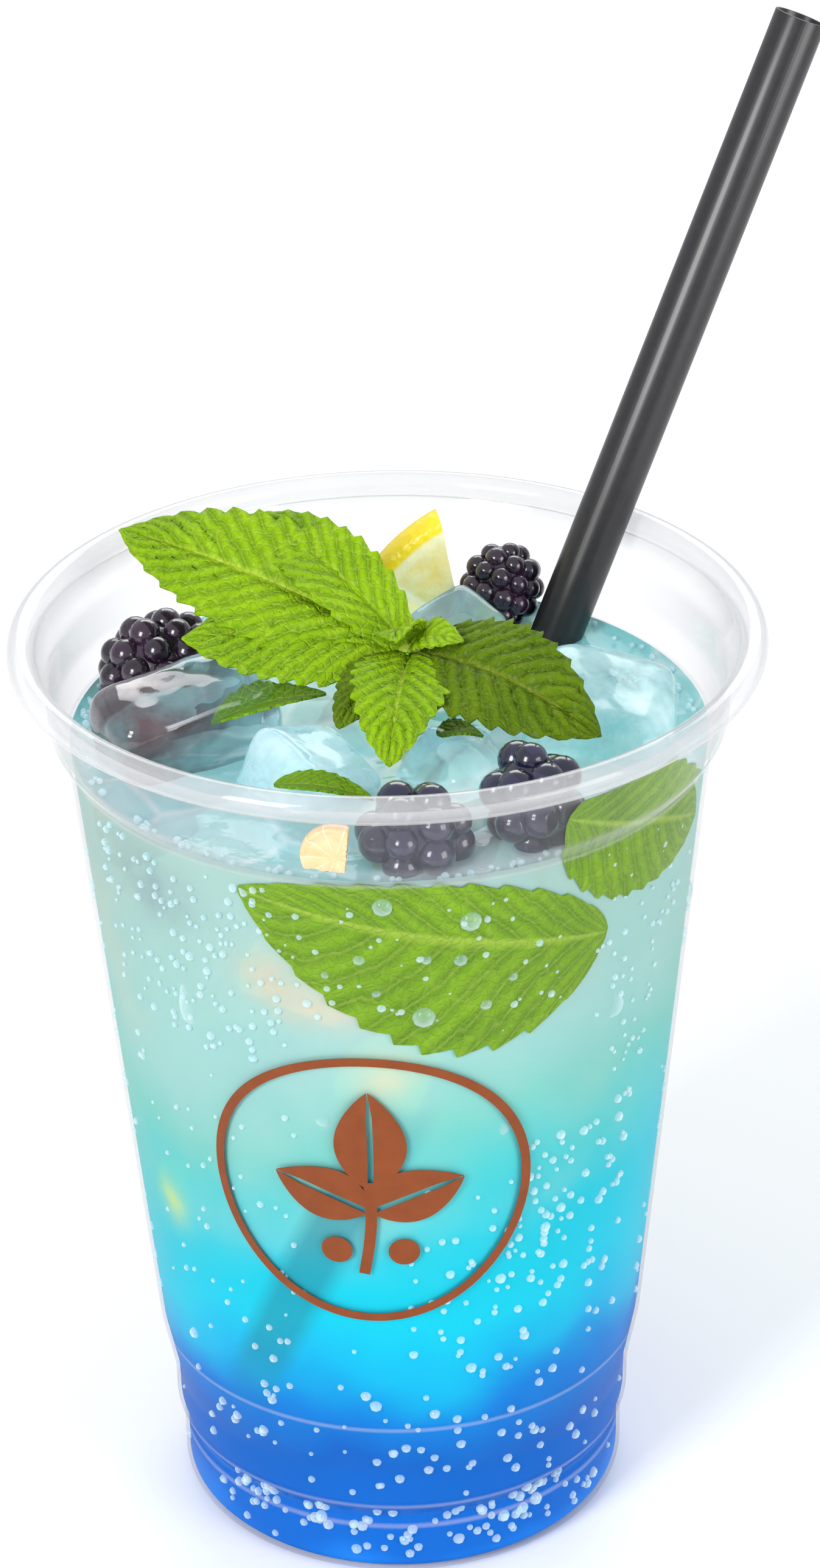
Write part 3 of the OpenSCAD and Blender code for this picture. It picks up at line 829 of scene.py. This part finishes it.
# ---- bubbles ----
def bubble_cloud(name, spots):
    """Small round bubbles, each at (point, radius) in mm, made one piece."""
    pick_none()
    bpy.ops.mesh.primitive_uv_sphere_add(segments=8, ring_count=6, radius=MM)
    model = added("bubble")
    bpy.ops.transform.resize(value=(1, 1, 0.96))
    bpy.ops.object.mode_set(mode="OBJECT")
    smooth(model, 180)
    twins = []
    for point, radius in spots:
        twin = copy_of(model, "bubble")
        twin.matrix_world = Matrix.Translation(point * MM) @ Matrix.Scale(radius, 4)
        twins.append(twin)
    bpy.data.objects.remove(model)
    return joined(twins, name)


def wall_spots(draw, count, turns, heights, sizes):
    """Bubbles that sit on the wall's inside, between two angles and two heights."""
    spots = []
    for _ in range(count):
        turn = draw.uniform(*turns)
        z = draw.uniform(*heights)
        size = draw.uniform(*sizes) * draw.uniform(0.7, 1)
        spots.append((on_wall(turn, z, WALL + size * 0.35 - 0.25), size))
    return spots


# ---- print ----
PRINT_TURN, PRINT_Z, PRINT_LIFT = -5.5, 66.3, 0.05


def wrapped(piece):
    """Wraps a flat shape in the XY plane round the outside of the wall."""
    upright, mid_r = 0.995, skin_r(PRINT_Z)
    for vertex in piece.data.vertices:
        x, y, _ = vertex.co / MM
        vertex.co = on_wall(PRINT_TURN + math.degrees(x / mid_r), PRINT_Z + y * upright, -PRINT_LIFT) * MM
    return piece


def flat_ring(name, radius, width):
    """A round band, its width taken inwards from its outer radius."""
    pick_none()
    bpy.ops.mesh.primitive_circle_add(vertices=144, radius=radius * MM, fill_type="NGON")
    piece = added(name)
    bpy.ops.mesh.inset(thickness=width * MM)
    bpy.ops.mesh.delete(type="FACE")
    pick_none()
    return piece


def flat_shape(name, length, half, bend, at, turn):
    """A leaf of two halves with a bare line between them, from its stalk at a point."""
    gap, least, rows = 0.35, 0.06, 28
    halves = []
    for side in (-1, 1):
        pick_none()
        bpy.ops.mesh.primitive_grid_add(x_subdivisions=rows, y_subdivisions=4, size=1)
        piece = bpy.context.object
        for vertex in piece.data.vertices:
            u, v = vertex.co.x + 0.5, vertex.co.y + 0.5
            w = half * math.sin(math.pi * u ** 0.85) ** 0.8 if 0 < u < 1 else 0
            edge = 0.04 + gap * min(1, 4 * (1 - u))
            out = side * (edge * (1 - v) + max(edge + least, w) * v)
            vertex.co = Vector((length * u, out + bend * u * u, 0)) * MM
        halves.append(piece)
    piece = joined(halves, name)
    piece.matrix_world = Matrix.Translation(Vector((*at, 0)) * MM) @ Matrix.Rotation(math.radians(turn), 4, "Z")
    settle(piece)
    return piece


def flat_band(name, points, width):
    """A stroke of even width through points."""
    pick_none()
    bpy.ops.mesh.primitive_grid_add(x_subdivisions=len(points) - 1, y_subdivisions=2, size=1)
    piece = bpy.context.object
    piece.name = name
    steps = len(points) - 1
    for vertex in piece.data.vertices:
        k = round((vertex.co.x + 0.5) * steps)
        before, after = Vector(points[max(0, k - 1)]), Vector(points[min(steps, k + 1)])
        along = (after - before).normalized()
        p = Vector(points[k]) + Vector((-along.y, along.x)) * width * vertex.co.y
        vertex.co = Vector((p.x, p.y, 0)) * MM
    return piece


def cup_print():
    """A ring round a sprig of three leaves and two berries."""
    stem = [(-1.0 + 1.2 * math.sin(2.2 * k / 16), -13.5 + 15 * k / 16) for k in range(17)]
    shapes = [flat_ring("print_ring", 21.4, 1.25), flat_band("print_stem", stem, 1.5),
              flat_shape("print_leaf", 15.5, 4.6, 0.6, (0.2, 0.4), 88),
              flat_shape("print_leaf", 13.0, 4.2, 1.2, (-0.2, -3.2), 152),
              flat_shape("print_leaf", 13.0, 4.2, -1.2, (0.2, -3.2), 28)]
    for x, y in ((-4.6, -9.8), (4.4, -9.8)):
        pick_none()
        bpy.ops.mesh.primitive_circle_add(vertices=40, radius=2.1 * MM, fill_type="NGON",
                                          location=(x * MM, y * MM, 0))
        dot = added("print_berry")
        bpy.ops.mesh.inset(thickness=0.8 * MM)
        pick_none()
        settle(dot)
        shapes.append(dot)
    piece = joined(shapes, "cup_print")
    settle(piece)
    pick(piece)
    bpy.ops.object.mode_set(mode="EDIT")
    bpy.ops.mesh.select_all(action="SELECT")
    bpy.ops.mesh.quads_convert_to_tris()
    bpy.ops.object.mode_set(mode="OBJECT")
    wrapped(piece)
    modify(piece, "SOLIDIFY", thickness=0.06 * MM, offset=0)
    return piece


# ---- building it all ----
def build_cup_and_drink():
    """The cup, the drink with its own finish on top, the straw and the print."""
    shell = cup_shell()
    smooth(shell, 50)
    fit_out(shell, clear_cup_material(), "cup_wall", "cup")
    drink = fit_out(drink_body(), drink_material(), "drink", "drink")
    drink.data.materials.append(drink_top_material())
    for face in drink.data.polygons:
        if face.normal.z > 0.6 and face.center.z > (LEVEL - 1) * MM:
            face.material_index = 1
    fit_out(straw_tube(), straw_material(), "straw", "straw")
    fit_out(cup_print(), print_material(), "print")


def build_ice():
    """The ice that stands out of the drink, and dim pieces under its surface."""
    clear = ice_material("clear_ice", (0.90, 0.97, 0.99), 0.02)
    aqua = ice_material("aqua_ice", (0.45, 0.88, 0.90), 0.35)
    pale = ice_material("pale_blue_ice", (0.70, 0.92, 0.98), 0.25)
    dusky = ice_material("berry_shaded_ice", (0.62, 0.76, 0.82), 0.02, shaded=True)
    # Node, sides, turn, share of the edge melted away, seed and finish
    blocks = [("ice_left", (23.1, 14.3, 17.6), (4, -6, 28), 0.34, 1, dusky),
              ("ice_right", (19.5, 22.5, 15), (4, 9, -8), 0.42, 2, aqua),
              ("ice_front_a", (13.8, 13.8, 13.8), (14, 20, 40), 0.22, 3, pale),
              ("ice_front_b", (11.1, 11.1, 11.1), (24, 18, 36), 0.2, 4, clear),
              ("ice_back", (10.5, 10.5, 12.6), (14, -12, 38), 0.2, 5, clear)]
    for node, sides, turn, melt, seed, material in blocks:
        piece = ice_lump(node + "_lump", node_centre(node), sides, turn, melt, seed)
        fit_out(piece, material, "ice", node)
    sunk = sunk_ice_material()
    for index, (turn, z, inset, size) in enumerate([
            (-40, 92, 8.5, 14), (-12, 78, 8.0, 12), (24, 72, 8.5, 14), (48, 90, 8, 13), (95, 88, 9, 15),
            (150, 84, 9, 14), (-150, 90, 9, 15), (-100, 76, 9, 14)]):
        piece = ice_lump("sunk_ice_%d" % index, on_wall(turn, z, inset), (size, size * 0.8, size * 0.9),
                         (20 * index, 35 * index, 50 * index), 0.25, 10 + index)
        fit_out(piece, sunk, "ice")


def build_fruit():
    """Four berries, the standing lemon piece and the lemon bits in the drink."""
    dark = berry_material("dark_berry", (0.006, 0.003, 0.010), (0.030, 0.010, 0.030))
    misty = berry_material("misty_berry", (0.005, 0.006, 0.022), (0.022, 0.020, 0.062))
    for node, across, yaw, pitch, share, material in [
            ("berry_left", 17.2, 28, 84, 0.24, dark), ("berry_back", 11.6, 40, 30, 0.26, dark),
            ("berry_front_a", 14.4, 5.5, 90, 0.33, misty), ("berry_front_b", 14.4, 122.5, 25, 0.33, misty)]:
        piece = berry(node + "_fruit", node_centre(node), across, yaw, pitch, len(node) + across, share)
        fit_out(piece, material, "berry", node)
    centre, turn, wheel_r = (17.0, 35.5, 107.3), (90, 0, 10), 24
    wedge = lemon_wedge("lemon_wedge", wheel_r, 5.4, 6.5, -10, 12)
    put(wedge, centre, turn)
    fit_out(wedge, lemon_material("lemon", centre, turn, wheel_r, (0.90, 0.72, 0.18), (0.95, 0.90, 0.55)),
            "lemon", "lemon_piece")
    # Wheels so large in the material that the bits are all flesh, with no rind
    all_flesh, bit_thick = 2.2, 1.5
    for index, (turn_at, z, inset, radius, lean, flesh, pale) in enumerate([
            (-13.5, 95.5, 3.2, 11, 20, (0.90, 0.62, 0.36), (0.95, 0.82, 0.62)),
            (2, 81, 3.0, 9, 20, (0.90, 0.75, 0.40), (0.93, 0.88, 0.66)),
            (-57, 54, 2.0, 5.5, 12, (0.80, 0.74, 0.08), (0.90, 0.86, 0.30)),
            (-9, 118.2, 1.8, 4.4, 6, (0.90, 0.50, 0.18), (0.94, 0.72, 0.42)),
            (140, 80, 3.8, 11, 8, (0.90, 0.70, 0.20), (0.95, 0.88, 0.5))]):
        name = "lemon_bit_%d" % index
        place = on_wall(turn_at, z, inset)
        tilt = (90 + WALL_SLOPE, 0, turn_at)
        bit = lemon_wedge(name, radius, bit_thick, -radius * 0.3, lean, radius * 0.5)
        put(bit, place, tilt)
        fit_out(bit, lemon_material(name, place, tilt, radius * all_flesh, flesh, pale), "lemon")


def build_mint():
    """The sprig on its stem, the leaves sunk against the wall and the loose ones at the surface."""
    light, dark, vein = (0.30, 0.52, 0.0015), (0.07, 0.21, 0.001), (0.50, 0.66, 0.06)
    kinds = {}
    for name, tip, half, side, arch, fold, teeth, kind in LEAVES:
        if (kind, teeth) not in kinds:
            # Deep leaves take the bright leaf colours at 0.44 of their brightness: painted shade
            shade = 1 if kind == "bright" else 0.44
            kinds[kind, teeth] = leaf_material("mint_%s_%d" % (kind, teeth), [c * shade for c in light],
                                               [c * shade for c in dark], [c * shade for c in vein],
                                               teeth, 0.42, 0.22)
        leaf = sprig_leaf(name, tip, half, side, arch, fold, teeth)
        fit_out(leaf, kinds[kind, teeth], "mint", *(["mint_sprig"] if name == "leaf_big_left" else []))
    fit_out(mint_stem(), stem_material(), "mint")
    sunk = leaf_material("sunk_mint", (0.20, 0.40, 0.004), (0.06, 0.17, 0.002), (0.34, 0.50, 0.05),
                         11, 0.5, 0.2)
    for name, start, end, upper, lower, teeth in [
            ("sunk_leaf_front", (29.5, 100), (-19, 111.2), 8, 17, 11),
            ("sunk_leaf_right", (21, 120.5), (51, 107), 8.5, 10.5, 11),
            ("sunk_leaf_back", (110, 104), (140, 86), 9, 9, 11),
            ("sunk_leaf_side", (-70, 100), (-95, 84), 8, 8, 11)]:
        fit_out(sunk_leaf(name, start, end, upper, lower, teeth), sunk, "mint")
    for name, start, end, half in [
            ("loose_leaf_a", (-23, -7.5, 119), (-8, -4, 121), 3.4),
            ("loose_leaf_b", (-14.5, -22, 117.5), (-2, -24.5, 116.5), 2.6),
            ("loose_leaf_c", (6, -13, 119.3), (12, -12, 118.6), 2.2)]:
        a, b = Vector(start), Vector(end)
        side = (b - a).normalized().cross(Vector((0, 0, 1)))

        def spot(u, s):
            w = half * blade_width(u, 8)
            return a + (b - a) * u + side * w * s + Vector((0, 0, 0.8 * math.sin(math.pi * u) + 0.3 * w * abs(s)))
        fit_out(leaf_blade(name, spot, 32, 12), sunk, "mint")


def build_bubbles():
    """Bubbles on the wall, large ones on the front leaf, and a froth on the surface."""
    draw = random.Random(41)
    spots = []
    # How many, between which angles, heights and radii
    for count, turns, heights, sizes in [
            (150, (-64, -20), (84, 112), (0.28, 0.72)), (46, (-24, 34), (90, 111), (0.3, 0.8)),
            (90, (22, 56), (42, 72), (0.4, 0.85)), (34, (2, 24), (40, 66), (0.35, 0.7)),
            (100, (-58, 58), (13, 40), (0.4, 0.95)), (60, (-50, 50), (7, 10.5), (0.6, 1.05)),
            (44, (-64, 64), (3, 7), (0.5, 0.95)), (46, (-62, -20), (40, 82), (0.3, 0.62)),
            (60, (40, 66), (76, 112), (0.28, 0.6)), (300, (70, 290), (4, 112), (0.3, 0.85))]:
        spots += wall_spots(draw, count, turns, heights, sizes)
    fizz = bubble_material("fizz_bubble", 0.34)
    fit_out(bubble_cloud("wall_bubbles", spots), fizz, "drink")
    large = [(on_wall(turn, z, WALL + 0.2), size) for turn, z, size in [
        (-1.5, 110.6, 1.5), (13.8, 107.6, 1.6), (5.5, 93.7, 1.7), (-5.9, 102.6, 1.0), (6.0, 102.4, 0.9),
        (12.1, 101.9, 1.1), (-12, 100, 0.8), (22, 98, 0.9), (-3, 97.5, 0.8), (17, 94.5, 1.0)]]
    fit_out(bubble_cloud("leaf_bubbles", large), bubble_material("clear_bubble", 0.14), "drink")
    top = []
    for _ in range(70):
        spread, away = draw.uniform(0, math.tau), draw.uniform(0, 6.5)
        top.append((Vector((31.6 + away * math.cos(spread), 8 + away * math.sin(spread), LEVEL + 0.25)),
                    draw.uniform(0.25, 0.7)))
    for _ in range(150):
        spread = draw.uniform(0, math.tau)
        away = skin_r(LEVEL) - WALL - draw.uniform(0.6, 2.2)
        top.append((Vector((away * math.cos(spread), away * math.sin(spread), LEVEL + 0.55)),
                    draw.uniform(0.25, 0.6)))
    fit_out(bubble_cloud("surface_bubbles", top), fizz, "drink")


def build_studio():
    """A floor so wide that its end is never seen, a pale sky and three soft lamps."""
    pick_none()
    bpy.ops.mesh.primitive_plane_add(size=40)
    floor = bpy.context.object
    floor.name = "studio_floor"
    floor.data.materials.append(floor_material())

    world = bpy.data.worlds.new("studio")
    world.use_nodes = True
    world.node_tree.nodes["Background"].inputs["Color"].default_value = (0.93, 0.96, 1.0, 1)
    world.node_tree.nodes["Background"].inputs["Strength"].default_value = 0.8
    bpy.context.scene.world = world

    def lamp(name, at, size, power):
        """A soft box of a width and height in metres, aimed at the middle of the drink."""
        data = bpy.data.lights.new(name, "AREA")
        data.shape = "RECTANGLE"
        data.size, data.size_y = size
        data.energy = power
        light = bpy.data.objects.new(name, data)
        bpy.context.collection.objects.link(light)
        light.location = at
        aim = Vector((0, 0, 0.07)) - light.location
        light.rotation_euler = aim.to_track_quat("-Z", "Y").to_euler()
    lamp("key_softbox", (-0.60, -0.75, 0.60), (0.35, 0.55), 10)
    lamp("fill_softbox", (0.85, -0.65, 0.38), (0.6, 0.6), 7)
    lamp("back_softbox", (0.1, 0.95, 0.7), (0.9, 0.5), 5)


def build_camera():
    """A long lens from the front, looking down on the rim and rolled a little."""
    data = bpy.data.cameras.new("main_view")
    data.lens = 108.76
    data.clip_start, data.clip_end = 0.02, 30
    camera = bpy.data.objects.new("main_view", data)
    bpy.context.collection.objects.link(camera)
    pitch, roll = math.radians(28.16), math.radians(-1.01)
    forward = Vector((0, math.cos(pitch), -math.sin(pitch)))
    up = Vector((0, math.sin(pitch), math.cos(pitch)))
    right = Vector((1, 0, 0))
    axis_x = math.cos(roll) * right + math.sin(roll) * up
    axis_y = -math.sin(roll) * right + math.cos(roll) * up
    camera.matrix_world = Matrix((axis_x, axis_y, -forward)).transposed().to_4x4()
    camera.location = Vector((2.58, -546.44, 398.03)) * MM
    bpy.context.scene.camera = camera


scene = bpy.context.scene
scene.view_settings.view_transform = "Standard"
scene.cycles.transparent_max_bounces = 24

build_studio()
build_camera()
build_cup_and_drink()
build_ice()
build_fruit()
build_mint()
build_bubbles()
